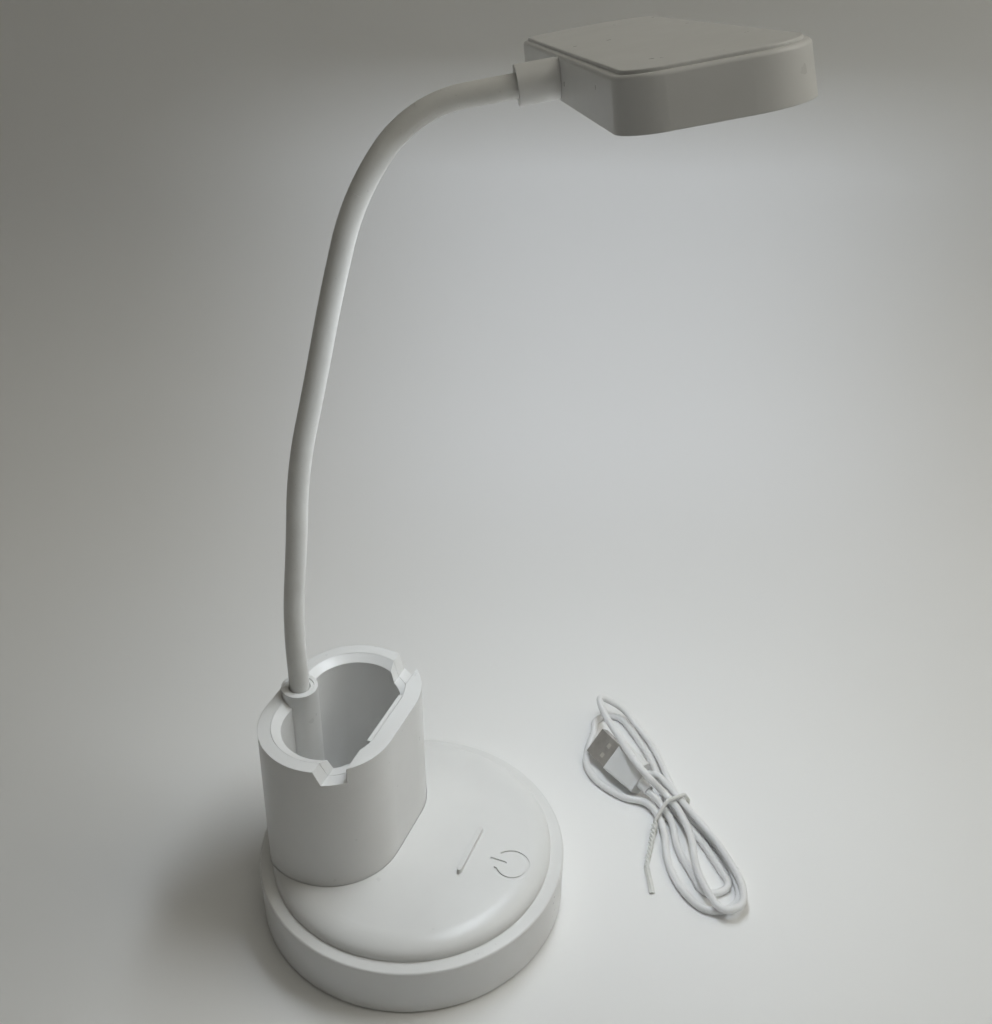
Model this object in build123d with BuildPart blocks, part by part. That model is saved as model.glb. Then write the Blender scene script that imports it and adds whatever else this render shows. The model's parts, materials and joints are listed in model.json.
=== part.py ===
from build123d import *
import math
import os

# Desk lamp: a round base whose oblong pen cup also holds a phone, a flexible neck, and a flat lamp head.
# Millimetres, +Z up. The origin is the centre of the base's underside. The front, with the touch symbol, is -Y.

# Allowances
overrun = 1.0  # how far a cut runs past the face that it leaves
seat_gap = 0.1  # between pieces that are put together by hand
running_gap = 0.05  # between a ball and its socket, and round a screw
clear_gap = 0.3  # between pieces that must not touch

# Base ring
base_radius = 57.5
base_wall = 2.4
ring_top = 21.3
deck_thick = 2.2
ring_round = 0.8
well_radius = base_radius - 9.5  # the opening in the deck, in front of the cup
well_clear = 3.1  # from the opening to the cup's wall
pad_thick = 1.0
pad_inset = 1.5
plate_thick = 2.0
plate_boss_circle = base_radius - 7.5
plate_boss_angle = 30.0  # degrees, from the X axis
plate_boss_radius = 3.2

# Dome
dome_radius = base_radius - 4.9
dome_wall = 2.2
dome_lip = 0.8
shoulder_width = 9.0
shoulder_height = 4.6
crown_slope = 2.5  # degrees, where the crown meets the shoulder
rib_y = 28.9 - dome_radius
rib_half_length = 11.3
rib_width = 1.7
rib_height = 1.5
icon_y = 12.4 - dome_radius
icon_radius = 6.2
icon_stroke = 1.1
icon_gap_half = 3.3
icon_bar_near = icon_y + 2.0
icon_bar_far = icon_y + 8.6
icon_depth = 0.3

# Cup that holds pens and a phone
holder_y = base_radius - 30.9
holder_half_run = 10.3
holder_foot_radius = 25.5
holder_rim_radius = 24.6
rim_top = 82.4
holder_wall = 2.4
land_width = 4.5
rim_depth = 9.0
ledge_thick = 2.0
funnel_width = 3.5
funnel_depth = 2.0
cup_wall = 1.8
cup_floor_top = 29.0
cup_floor_thick = 2.0
slot_front = holder_y - 16.7  # the upright face of the phone slot
slot_back = slot_front + 7.5
slot_lean = 2.4  # how far the slot's sloping face leans back
slot_depth = 6.1
strip_front = slot_front - 1.6  # the liner's edge that shows behind the front land
strip_half = 13.0
strip_step = 0.3
cup_boss_radius = 3.0
cup_boss_x = 16.0
cup_boss_y = 9.0  # from the middle of the cup

# Column, bush and neck fastening
column_y = holder_y + 16.9
column_radius = 6.65
column_top = 85.7
column_chamfer = 0.4
column_bore = 5.2
column_lower_bore = 4.2
column_step_height = 5.0  # above the cup's floor
bush_length = 6.0
bush_recess = 0.3
ferrule_top = 72.0
ferrule_wire_radius = 2.0
ferrule_tail = 5.0
nut_across_radius = 6.5
nut_thick = 3.5

# Flexible neck
sleeve_radius = 3.6
core_radius = 2.85
ball_radius = 2.3
bend_limit = 20.0  # degrees at each ball joint
link_length = 29.8
stub_length = 14.85
end_play = 0.1
core_bury = 36.0  # how far the core runs down inside the column
sleeve_bury = 13.5
# Lean from upright and heading round Z of the neck at each ball joint, in degrees
neck_leans = (0.0, 7.0, 7.0, 17.0, 16.0, 17.0, 40.7, 80.3)
neck_headings = (0.0, -46.0, -19.0, -32.0, -30.0, -44.0, -40.0, -62.3)

# Lamp head
head_depth = 47.8
head_width = 192.3
head_height = 12.6
head_roll = -7.5  # degrees about its depth
head_near_corner = 10.8
head_far_corner = 19.1
head_draft = 3.6  # degrees
head_wall = 1.8
head_roof = 1.8
head_round = 1.2
cover_inset = 1.8
cover_thick = 0.9
cover_round = 0.4
diffuser_thick = 2.0
diffuser_recess = 0.3
board_thick = 1.6
led_board_depth = head_depth - 13.8
led_board_width = head_width - 24.3
led_size = 3.0
led_thick = 0.7
led_rows = 2
led_columns = 20
led_row_pitch = led_board_depth - 21.0
led_pitch = (led_board_width - 16.0) / led_columns
reflector_wall = 1.0
reflector_slope = 35.0  # degrees from upright
head_screw_x = led_board_depth / 2 - 4.0  # from the middle of the board
head_screw_y = led_board_width / 2 - 5.0
collar_radius = 5.9
collar_length = 13.0
collar_socket = 10.0
spigot_radius = 3.0
collar_nut_radius = 3.5
collar_nut_thick = 3.0

# Screws
screw_radius = 1.25
screw_length = 8.0
screw_head_radius = 2.4
screw_head_thick = 1.0
small_screw_radius = 0.95
small_head_radius = 1.8
small_head_thick = 0.8

# Inside the base
weight_radius = base_radius - 11.5
weight_clear = 7.0  # from the battery's cradle to the weight
weight_thick = 6.0
battery_radius = 9.2
battery_length = 2 * (base_radius - 25.0)
battery_y = 33.5 - base_radius
cradle_floor = 1.2
cradle_wall = 1.8
cradle_height = 8.0
board_width = 2 * (base_radius - 37.5)
board_depth = 25.0
board_y = base_radius - 19.2
board_z = 11.0
board_post_radius = 2.4
board_post_inset = 3.0
socket_width = 9.0
socket_depth = 7.3
socket_height = 3.2
socket_wall = 0.4
electrode_radius = 4.5
electrode_thick = 0.4

# Lead, tied in a hank on the table
hank_x = 73.5
hank_y = -82.7
hank_heading = 40.2  # degrees, from the waist towards the plug
cord_radius = 1.5
plug_heading = 15.9  # degrees, from the hank's own line
plug_nose_up = 3.3  # degrees
plug_roll = -50.0  # degrees round the plug's own line: it leans on the strands
plug_u = 20.1
plug_v = 9.05
plug_z = 6.9
moulding_length = 17.0
moulding_width = 12.6
moulding_back_width = 10.0
moulding_height = 7.6
moulding_round = 1.0
shell_length = 12.5
shell_bury = 6.0
shell_width = 12.0
shell_height = 4.5
shell_wall = 0.4
shell_window = 2.0
shell_window_pitch = 5.0
shell_window_back = 5.0
tongue_thick = 1.8
relief_length = 5.0
relief_radius = 2.2
device_u = 22.3
device_v = 1.0
device_z = 2.7
device_heading = 14.0  # degrees, from the hank's own line
device_length = 15.0
device_width = 8.8
device_height = 4.6
device_round = 1.6
device_tip_length = 6.5
device_tip_width = 8.3
device_tip_height = 2.4
tie_radius = 0.5
tie_gap = 0.25
tie_bend = 1.2
tie_twist_heading = 150.0  # degrees, from the hank's own line
tie_twist_length = 27.0
tie_twist_radius = 0.9
tie_tail_heading = 169.0  # degrees, from the hank's own line
tie_tail_length = 14.5


def cup_outline(radius):
    """The cup's oblong, at a radius of its round ends."""
    with Locations((0, holder_y)):
        SlotCenterToCenter(2 * holder_half_run, 2 * radius)


def column_disc(radius):
    """A disc round the neck's axis."""
    with Locations((0, column_y)):
        Circle(radius)


def slot_profile():
    """Side view of the phone slot: an upright front face, a floor and a sloping back."""
    rise = slot_depth + overrun
    slope_top = slot_back + slot_lean * rise / slot_depth
    floor_z = rim_top - slot_depth
    with BuildLine() as outline:
        Polyline(
            (slot_front, floor_z),
            (slot_back, floor_z),
            (slope_top, floor_z + rise),
            (slot_front, floor_z + rise),
            close=True,
        )
    make_face(outline.edges())


def liner_block(gap):
    """The liner's rim block in plan, behind the front land, smaller all round by a gap."""
    cup_outline(liner_radius - gap)
    with Locations((0, slot_front + gap)):
        Rectangle(2 * base_radius, 2 * base_radius, align=(Align.CENTER, Align.MAX), mode=Mode.SUBTRACT)


def liner_strip(gap):
    """The straight edge of the liner that shows behind the front land."""
    strip_depth = holder_y - cup_radius - strip_front
    with Locations((0, strip_front + gap)):
        Rectangle(2 * (strip_half - gap), strip_depth - gap, align=(Align.CENTER, Align.MIN))


def dome_section(inset):
    """Half section of the dome, drawn in from its outer face by an inset."""
    foot_z = ring_top - (overrun if inset else 0)
    shoulder_z = ring_top + dome_lip
    outer = dome_radius - inset
    width = shoulder_width - inset
    height = shoulder_height - inset
    level = math.degrees(math.atan(height / (width * math.tan(math.radians(crown_slope)))))
    with BuildLine() as outline:
        side = Line((outer, foot_z), (outer, shoulder_z))
        shoulder = EllipticalCenterArc((outer - width, shoulder_z), width, height, 0, arc_size=level)
        edge = shoulder @ 1
        edge_slope = math.atan(-(shoulder % 1).Y / (shoulder % 1).X) * -1
        top = edge.Y + edge.X * math.tan(abs(edge_slope) / 2)
        TangentArc(edge, (0, top), tangent=shoulder % 1)
        Polyline((0, top), (0, foot_z), side @ 0)
    make_face(outline.edges())


def screw(radius, length, head_radius, head_thick):
    """A pan-head screw that points up, with the seat of its head at the origin."""
    Cylinder(head_radius, head_thick, align=(Align.CENTER, Align.CENTER, Align.MAX))
    Cylinder(radius, length, align=(Align.CENTER, Align.CENTER, Align.MIN))


# Heights and radii that follow from the sizes above
plate_top = pad_thick + plate_thick
deck_under = ring_top - deck_thick
shoulder_top = ring_top + dome_lip + shoulder_height
liner_radius = holder_rim_radius - land_width
cup_radius = liner_radius - funnel_width
cup_outer_radius = cup_radius + cup_wall
rim_bottom = rim_top - rim_depth
cup_underside = cup_floor_top - cup_floor_thick
holder_height = rim_top - ring_top
holder_draft = math.degrees(math.atan((holder_foot_radius - holder_rim_radius) / holder_height))
column_step = cup_floor_top + column_step_height
well_back = holder_y - holder_foot_radius - well_clear
weight_front = battery_y + battery_radius + cradle_wall + weight_clear

# Base ring
plate_boss_x = plate_boss_circle * math.cos(math.radians(plate_boss_angle))
plate_boss_y = plate_boss_circle * math.sin(math.radians(plate_boss_angle))
plate_boss_spots = GridLocations(2 * plate_boss_x, 2 * plate_boss_y, 2, 2).locations
board_spots = [
    Location((x, board_y + y))
    for x in (-board_width / 2 + board_post_inset, board_width / 2 - board_post_inset)
    for y in (-board_depth / 2 + board_post_inset, board_depth / 2 - board_post_inset)
]
cup_boss_spots = [Location((x, holder_y + y)) for x in (-cup_boss_x, cup_boss_x) for y in (-cup_boss_y, cup_boss_y)]
socket_z = board_z + board_thick + socket_height / 2

with BuildPart() as base_housing:
    with BuildSketch(Plane.XY.offset(pad_thick)):
        Circle(base_radius)
    extrude(amount=ring_top - pad_thick)
    fillet(base_housing.edges().group_by(Axis.Z)[-1], ring_round)
    with BuildSketch(Plane.XY.offset(pad_thick)):
        Circle(base_radius - base_wall)
    extrude(amount=deck_under - pad_thick, mode=Mode.SUBTRACT)
    with BuildSketch(Plane.XY.offset(deck_under)):
        Circle(well_radius)
        with Locations((0, well_back)):
            Rectangle(2 * base_radius, base_radius, align=(Align.CENTER, Align.MIN), mode=Mode.SUBTRACT)
    extrude(amount=deck_thick + overrun, mode=Mode.SUBTRACT)
    with BuildSketch(Plane.XY.offset(plate_top)):
        with Locations(plate_boss_spots):
            Circle(plate_boss_radius)
    extrude(amount=deck_under - plate_top)
    with BuildSketch(Plane.XY.offset(plate_top)):
        with Locations(plate_boss_spots):
            Circle(screw_radius + running_gap)
    extrude(amount=screw_length, mode=Mode.SUBTRACT)
    with BuildSketch(Plane.XY.offset(board_z + board_thick)):
        with Locations(board_spots):
            Circle(board_post_radius)
    extrude(amount=deck_under - board_z - board_thick)
    with BuildSketch(Plane.XY.offset(board_z + board_thick)):
        with Locations(board_spots):
            Circle(small_screw_radius + running_gap)
    extrude(amount=deck_under - board_z - board_thick - overrun, mode=Mode.SUBTRACT)
    with BuildSketch(Plane.XY.offset(deck_under)):
        with Locations(cup_boss_spots):
            Circle(screw_radius + running_gap)
        column_disc(ferrule_wire_radius + overrun)
    extrude(amount=deck_thick + overrun, mode=Mode.SUBTRACT)
    with BuildSketch(Plane.XZ.offset(-base_radius)):
        with Locations((0, socket_z)):
            RectangleRounded(socket_width + 2 * seat_gap, socket_height + 2 * seat_gap, socket_height / 3)
    extrude(amount=2 * base_wall, both=True, mode=Mode.SUBTRACT)
base_housing.part.label = "base_housing"

# Underside: plate, screws and pad
with BuildPart() as bottom_plate:
    with BuildSketch(Plane.XY.offset(pad_thick)):
        Circle(base_radius - base_wall - seat_gap)
    extrude(amount=plate_thick)
    with Locations([spot * Location((0, 0, pad_thick)) for spot in plate_boss_spots]):
        Cylinder(
            screw_head_radius + seat_gap,
            screw_head_thick + seat_gap,
            align=(Align.CENTER, Align.CENTER, Align.MIN),
            mode=Mode.SUBTRACT,
        )
        Cylinder(
            screw_radius + running_gap,
            plate_thick,
            align=(Align.CENTER, Align.CENTER, Align.MIN),
            mode=Mode.SUBTRACT,
        )
bottom_plate.part.label = "bottom_plate"

with BuildPart() as bottom_screws:
    seat_z = pad_thick + screw_head_thick + seat_gap
    with Locations([spot * Location((0, 0, seat_z)) for spot in plate_boss_spots]):
        screw(screw_radius, screw_length, screw_head_radius, screw_head_thick)
bottom_screws.part.label = "bottom_screws"

with BuildPart() as foot_pad:
    Cylinder(base_radius - pad_inset, pad_thick, align=(Align.CENTER, Align.CENTER, Align.MIN))
foot_pad.part.label = "foot_pad"

# Dome with its touch symbol and the rib that stops a phone
with BuildPart() as base_dome:
    with BuildSketch(Plane.XZ):
        dome_section(0)
    revolve(axis=Axis.Z)
    dome_top = base_dome.part.bounding_box().max.Z
    with BuildSketch(Plane.XY.offset(dome_top - dome_wall / 2)):
        with Locations((0, rib_y)):
            SlotOverall(2 * rib_half_length, rib_width)
    extrude(amount=dome_wall / 2 + rib_height)
    with BuildSketch(Plane.XZ):
        dome_section(dome_wall)
    revolve(axis=Axis.Z, mode=Mode.SUBTRACT)
    with BuildSketch(Plane.XY.offset(ring_top - overrun)):
        cup_outline(holder_foot_radius + seat_gap)
        with Locations((0, holder_y)):
            Rectangle(2 * holder_half_run, base_radius, align=(Align.CENTER, Align.MIN))
    extrude(amount=base_radius, mode=Mode.SUBTRACT)
    with BuildSketch(Plane.XY.offset(shoulder_top - icon_depth)):
        with Locations((0, icon_y)):
            Circle(icon_radius + icon_stroke / 2)
            Circle(icon_radius - icon_stroke / 2, mode=Mode.SUBTRACT)
            Rectangle(
                2 * icon_gap_half, 2 * icon_radius, align=(Align.CENTER, Align.MIN), mode=Mode.SUBTRACT
            )
        with Locations((0, (icon_bar_near + icon_bar_far) / 2)):
            SlotOverall(icon_bar_far - icon_bar_near, icon_stroke, rotation=90)
    extrude(amount=dome_wall, mode=Mode.SUBTRACT)
base_dome.part.label = "base_dome"

# Outer wall of the cup
with BuildPart() as holder_shell:
    with BuildSketch(Plane.XY.offset(ring_top)):
        cup_outline(holder_foot_radius)
    extrude(amount=holder_height, taper=holder_draft)
    with BuildSketch(Plane.XY.offset(ring_top)):
        cup_outline(holder_foot_radius - holder_wall)
    extrude(amount=rim_bottom - ledge_thick - ring_top, taper=holder_draft, mode=Mode.SUBTRACT)
    with BuildSketch(Plane.XY.offset(ring_top)):
        cup_outline(cup_outer_radius + seat_gap)
        column_disc(column_radius + seat_gap)
    extrude(amount=holder_height + overrun, mode=Mode.SUBTRACT)
    with BuildSketch(Plane.XY.offset(rim_bottom)):
        liner_block(0)
        liner_strip(0)
    extrude(amount=rim_depth + overrun, mode=Mode.SUBTRACT)
    with BuildSketch(Plane.YZ):
        slot_profile()
    extrude(amount=base_radius, both=True, mode=Mode.SUBTRACT)
holder_shell.part.label = "holder_shell"

# Liner of the cup, with its funnel, its floor and the column for the neck
with BuildPart() as holder_cup:
    with BuildSketch(Plane.XY.offset(rim_bottom)):
        liner_block(seat_gap)
    extrude(amount=rim_depth)
    with BuildSketch(Plane.XY.offset(rim_top - funnel_depth)):
        cup_outline(cup_radius)
    with BuildSketch(Plane.XY.offset(rim_top)):
        cup_outline(liner_radius - seat_gap)
    loft(mode=Mode.SUBTRACT)
    with BuildSketch(Plane.XY.offset(rim_bottom)):
        liner_strip(seat_gap)
    extrude(amount=rim_depth - strip_step)
    with BuildSketch(Plane.XY.offset(cup_underside)):
        cup_outline(cup_outer_radius)
    extrude(amount=rim_bottom - cup_underside)
    with BuildSketch(Plane.XY.offset(cup_floor_top)):
        cup_outline(cup_radius)
    extrude(amount=rim_top - cup_floor_top + overrun, mode=Mode.SUBTRACT)
    with BuildSketch(Plane.XY.offset(ring_top)):
        with Locations(cup_boss_spots):
            Circle(cup_boss_radius)
    extrude(amount=cup_underside - ring_top)
    with BuildSketch(Plane.XY.offset(cup_underside)):
        column_disc(column_radius)
    extrude(amount=column_top - cup_underside)
    with BuildSketch(Plane.XY.offset(ring_top)):
        with Locations(cup_boss_spots):
            Circle(screw_radius + running_gap)
    extrude(amount=cup_underside - ring_top, mode=Mode.SUBTRACT)
    with BuildSketch(Plane.XY.offset(cup_underside)):
        column_disc(column_lower_bore)
    extrude(amount=column_top - cup_underside, mode=Mode.SUBTRACT)
    with BuildSketch(Plane.XY.offset(column_step)):
        column_disc(column_bore)
    extrude(amount=column_top - column_step, mode=Mode.SUBTRACT)
    with BuildSketch(Plane.YZ):
        slot_profile()
    extrude(amount=base_radius, both=True, mode=Mode.SUBTRACT)
holder_cup.part.label = "holder_cup"

# What holds the cup and the neck
with BuildPart() as holder_screws:
    with Locations([spot * Location((0, 0, deck_under)) for spot in cup_boss_spots]):
        screw(screw_radius, deck_thick + cup_underside - ring_top - seat_gap, screw_head_radius, screw_head_thick)
holder_screws.part.label = "holder_screws"

with BuildPart() as boss_bush:
    with BuildSketch(Plane.XY.offset(column_top - bush_recess - bush_length)):
        column_disc(column_bore - running_gap)
        column_disc_inner = sleeve_radius + clear_gap
        with Locations((0, column_y)):
            Circle(column_disc_inner, mode=Mode.SUBTRACT)
    extrude(amount=bush_length)
boss_bush.part.label = "boss_bush"

core_bottom = column_top - core_bury - stub_length + seat_gap
with BuildPart() as neck_ferrule:
    with BuildSketch(Plane.XY.offset(column_step + seat_gap)):
        column_disc(column_bore - running_gap)
    extrude(amount=ferrule_top - column_step - seat_gap)
    with BuildSketch(Plane.XY.offset(cup_underside - ferrule_tail)):
        column_disc(column_lower_bore - running_gap)
    extrude(amount=column_step + seat_gap - cup_underside + ferrule_tail)
    with BuildSketch(Plane.XY.offset(cup_underside - ferrule_tail)):
        column_disc(ferrule_wire_radius)
    extrude(amount=ferrule_top, mode=Mode.SUBTRACT)
    with BuildSketch(Plane.XY.offset(core_bottom)):
        column_disc(core_radius + running_gap)
    extrude(amount=ferrule_top - core_bottom + overrun, mode=Mode.SUBTRACT)
neck_ferrule.part.label = "neck_ferrule"

with BuildPart() as neck_nut:
    with BuildSketch(Plane.XY.offset(cup_underside - nut_thick)):
        with Locations((0, column_y)):
            RegularPolygon(nut_across_radius, 6)
            Circle(column_lower_bore, mode=Mode.SUBTRACT)
    extrude(amount=nut_thick)
neck_nut.part.label = "neck_nut"

# Inside the base
with BuildPart() as counterweight:
    with BuildSketch(Plane.XY.offset(plate_top)):
        Circle(weight_radius)
        with Locations((0, weight_front)):
            Rectangle(2 * base_radius, base_radius, align=(Align.CENTER, Align.MAX), mode=Mode.SUBTRACT)
    extrude(amount=weight_thick)
counterweight.part.label = "counterweight"

battery_z = plate_top + cradle_floor + battery_radius
with BuildPart() as battery:
    with BuildSketch(Plane.YZ.offset(-battery_length / 2)):
        with Locations((battery_y, battery_z)):
            Circle(battery_radius)
    extrude(amount=battery_length)
    fillet(battery.edges(), screw_head_thick / 2)
battery.part.label = "battery"

with BuildPart() as battery_cradle:
    with BuildSketch(Plane.XY.offset(plate_top)):
        with Locations((0, battery_y)):
            Rectangle(battery_length + 2 * cradle_wall + 2 * seat_gap, 2 * (battery_radius + cradle_wall))
    extrude(amount=cradle_height)
    with BuildSketch(Plane.YZ.offset(-battery_length / 2 - seat_gap)):
        with Locations((battery_y, battery_z)):
            Circle(battery_radius + seat_gap)
    extrude(amount=battery_length + 2 * seat_gap, mode=Mode.SUBTRACT)
battery_cradle.part.label = "battery_cradle"

with BuildPart() as control_board:
    with BuildSketch(Plane.XY.offset(board_z)):
        with Locations((0, board_y)):
            Rectangle(board_width, board_depth)
        with Locations(board_spots):
            Circle(small_screw_radius + running_gap, mode=Mode.SUBTRACT)
    extrude(amount=board_thick)
control_board.part.label = "control_board"

with BuildPart() as board_screws:
    with Locations([spot * Location((0, 0, board_z)) for spot in board_spots]):
        screw(small_screw_radius, 2 * board_thick, small_head_radius, small_head_thick)
board_screws.part.label = "board_screws"

socket_front = math.sqrt(base_radius**2 - (socket_width / 2) ** 2) - ring_round / 2
with BuildPart() as charge_socket:
    with BuildSketch(Plane.XZ.offset(-socket_front)):
        with Locations((0, socket_z)):
            RectangleRounded(socket_width, socket_height, socket_height / 3)
    extrude(amount=socket_depth)
    with BuildSketch(Plane.XZ.offset(-socket_front)):
        with Locations((0, socket_z)):
            RectangleRounded(
                socket_width - 2 * socket_wall, socket_height - 2 * socket_wall, socket_height / 3 - socket_wall / 2
            )
    extrude(amount=socket_depth - socket_wall, mode=Mode.SUBTRACT)
charge_socket.part.label = "charge_socket"

electrode_top = shoulder_top - dome_wall - seat_gap
with BuildPart() as touch_electrode:
    with BuildSketch(Plane.XY.offset(electrode_top - electrode_thick)):
        with Locations((0, icon_y)):
            Circle(electrode_radius)
    extrude(amount=electrode_thick)
touch_electrode.part.label = "touch_electrode"

# Flexible neck: tangents and pivots of the ball joints


def direction(lean, heading):
    """Unit vector at a lean from upright and a heading round Z, in degrees."""
    lean, heading = math.radians(lean), math.radians(heading)
    return Vector(math.sin(lean) * math.cos(heading), math.sin(lean) * math.sin(heading), math.cos(lean))


neck_root = Vector(0, column_y, column_top)
tangents = [direction(lean, heading) for lean, heading in zip(neck_leans, neck_headings)]
pivots = [neck_root + tangents[0] * stub_length]
for before, after in zip(tangents, tangents[1:]):
    half_turn = math.radians(before.get_angle(after)) / 2
    chord = link_length * (math.sin(half_turn) / half_turn if half_turn else 1)
    pivots.append(pivots[-1] + (before + after).normalized() * chord)
neck_end = pivots[-1] + tangents[-1] * stub_length
shoulder_gap = sleeve_radius * math.tan(math.radians(bend_limit) / 2) + end_play

# The centre line of each link, short of its pivots by the gap between the links' shoulders
trim_share = shoulder_gap / link_length
centre_lines = [Edge.make_line(neck_root - tangents[0] * core_bury, pivots[0] - tangents[0] * shoulder_gap)]
sleeve_lines = [Edge.make_line(neck_root - tangents[0] * sleeve_bury, pivots[0] - tangents[0] * shoulder_gap)]
for start, end, tangent in zip(pivots, pivots[1:], tangents):
    arc = Edge.make_tangent_arc(start, tangent, end).trim(trim_share, 1 - trim_share)
    centre_lines.append(arc)
    sleeve_lines.append(arc)
last_line = Edge.make_line(pivots[-1] + tangents[-1] * shoulder_gap, neck_end + tangents[-1] * collar_socket)
centre_lines.append(last_line)
sleeve_lines.append(last_line)

neck_cores = []
neck_sleeves = []
for number, (core_line, sleeve_line) in enumerate(zip(centre_lines, sleeve_lines)):
    with BuildPart() as neck_core:
        with BuildLine():
            add(core_line)
        with BuildSketch(Plane(origin=core_line @ 0, z_dir=core_line % 0)):
            Circle(core_radius)
        sweep()
        if number < len(pivots):
            with Locations(Plane(origin=pivots[number], z_dir=tangents[number])):
                Sphere(ball_radius)
        if number > 0:
            with Locations(Plane(origin=pivots[number - 1], z_dir=tangents[number - 1])):
                Sphere(ball_radius + running_gap, mode=Mode.SUBTRACT)
    neck_core.part.label = f"neck_core_{number}"
    neck_cores.append(neck_core)
    with BuildPart() as neck_sleeve:
        with BuildLine():
            add(sleeve_line)
        with BuildSketch(Plane(origin=sleeve_line @ 0, z_dir=sleeve_line % 0)):
            Circle(sleeve_radius)
            Circle(core_radius + running_gap, mode=Mode.SUBTRACT)
        sweep()
    neck_sleeve.part.label = f"neck_sleeve_{number}"
    neck_sleeves.append(neck_sleeve)

# Lamp head, on a plane whose origin is the middle of the top edge above the collar
head_forward = tangents[-1]
level_across = Vector(0, 0, 1).cross(head_forward).normalized()
level_up = head_forward.cross(level_across)
roll = math.radians(head_roll)
head_up = level_up * math.cos(roll) - level_across * math.sin(roll)
collar_end = neck_end + head_forward * collar_length
head = Plane(origin=collar_end + head_up * head_height / 2, x_dir=head_forward, z_dir=head_up)
collar_plane = Plane(origin=neck_end, x_dir=head_up, z_dir=head_forward)
head_axis = Axis(head.origin, head.z_dir)
draft_run = head_height * math.tan(math.radians(head_draft))
cavity_height = head_height - head_roof


def head_outline(inset):
    """The head in plan at its bottom edge, drawn in all round."""
    with Locations((head_depth / 2, 0)):
        RectangleRounded(
            head_depth + 2 * draft_run - 2 * inset, head_width + 2 * draft_run - 2 * inset, head_near_corner - inset
        )
    far_end = head_depth + draft_run - inset
    corner = head_far_corner - inset
    for side in (-1, 1):
        end = side * (head_width / 2 + draft_run - inset)
        with BuildSketch(mode=Mode.PRIVATE) as square:
            with Locations((far_end - corner / 2, end - side * corner / 2)):
                Rectangle(corner, corner)
            with Locations((far_end - corner, end - side * corner)):
                Circle(corner, mode=Mode.SUBTRACT)
        add(square.sketch, mode=Mode.SUBTRACT)


with BuildPart() as head_shell:
    with BuildSketch(head.offset(-head_height)):
        head_outline(0)
    extrude(amount=head_height, taper=head_draft)
    fillet(head_shell.edges().group_by(head_axis)[-1], head_round)
    with BuildSketch(head.offset(-head_height)):
        head_outline(head_wall)
    extrude(amount=cavity_height, taper=head_draft, mode=Mode.SUBTRACT)
    with BuildSketch(collar_plane.offset(collar_length - draft_run)):
        Circle(collar_radius - seat_gap)
    extrude(amount=head_wall)
    with BuildSketch(collar_plane.offset(collar_length - draft_run)):
        Circle(spigot_radius + running_gap)
    extrude(amount=draft_run + 2 * head_wall, mode=Mode.SUBTRACT)
head_shell.part.label = "head_shell"

with BuildPart() as head_cover:
    with BuildSketch(head):
        head_outline(draft_run + cover_inset)
    extrude(amount=cover_thick)
    fillet(head_cover.edges().group_by(head_axis)[-1], cover_round)
head_cover.part.label = "head_cover"

with BuildPart() as diffuser:
    with BuildSketch(head.offset(-head_height + diffuser_recess)):
        head_outline(head_wall + clear_gap)
    extrude(amount=diffuser_thick)
diffuser.part.label = "diffuser"

board_plane = head.offset(-head_roof)
board_middle = head_depth / 2
head_screw_spots = GridLocations(2 * head_screw_x, 2 * head_screw_y, 2, 2).locations
led_spots = GridLocations(led_row_pitch, led_pitch, led_rows, led_columns).locations
with BuildPart() as led_board:
    with BuildSketch(board_plane):
        with Locations((board_middle, 0)):
            Rectangle(led_board_depth, led_board_width)
            with Locations(head_screw_spots):
                Circle(small_screw_radius + running_gap, mode=Mode.SUBTRACT)
    extrude(amount=-board_thick)
led_board.part.label = "led_board"

with BuildPart() as leds:
    with BuildSketch(board_plane.offset(-board_thick)):
        with Locations((board_middle, 0)):
            with Locations(led_spots):
                Rectangle(led_size, led_size)
    extrude(amount=-led_thick)
leds.part.label = "leds"

with BuildPart() as head_screws:
    with BuildSketch(board_plane.offset(-board_thick)):
        with Locations((board_middle, 0)):
            with Locations(head_screw_spots):
                Circle(small_head_radius)
    extrude(amount=-small_head_thick)
    with BuildSketch(board_plane.offset(-board_thick)):
        with Locations((board_middle, 0)):
            with Locations(head_screw_spots):
                Circle(small_screw_radius)
    extrude(amount=board_thick)
head_screws.part.label = "head_screws"

reflector_bottom = -head_height + diffuser_recess + diffuser_thick + seat_gap
reflector_height = -head_roof - board_thick - seat_gap - reflector_bottom
with BuildPart() as reflector:
    with BuildSketch(head.offset(reflector_bottom)):
        head_outline(head_wall + 2 * clear_gap)
    extrude(amount=reflector_height, taper=head_draft)
    with BuildSketch(head.offset(reflector_bottom)):
        head_outline(head_wall + 2 * clear_gap + reflector_wall)
    extrude(amount=reflector_height, taper=reflector_slope, mode=Mode.SUBTRACT)
    with BuildSketch(collar_plane.offset(collar_length)):
        Circle(collar_nut_radius + clear_gap)
    extrude(amount=head_wall + collar_nut_thick + 2 * clear_gap, mode=Mode.SUBTRACT)
reflector.part.label = "reflector"

with BuildPart() as head_collar:
    with BuildSketch(collar_plane):
        Circle(collar_radius)
    extrude(amount=collar_length - draft_run)
    with BuildSketch(collar_plane):
        Circle(spigot_radius)
    extrude(amount=collar_length + head_wall + collar_nut_thick)
    with BuildSketch(collar_plane):
        Circle(sleeve_radius + running_gap)
    extrude(amount=collar_socket + seat_gap, mode=Mode.SUBTRACT)
    with BuildSketch(collar_plane):
        Circle(ferrule_wire_radius)
    extrude(amount=collar_length + 2 * head_depth, mode=Mode.SUBTRACT)
head_collar.part.label = "head_collar"

with BuildPart() as collar_nut:
    with BuildSketch(collar_plane.offset(collar_length + head_wall)):
        RegularPolygon(collar_nut_radius, 6)
        Circle(spigot_radius, mode=Mode.SUBTRACT)
    extrude(amount=collar_nut_thick - seat_gap)
collar_nut.part.label = "collar_nut"

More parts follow.
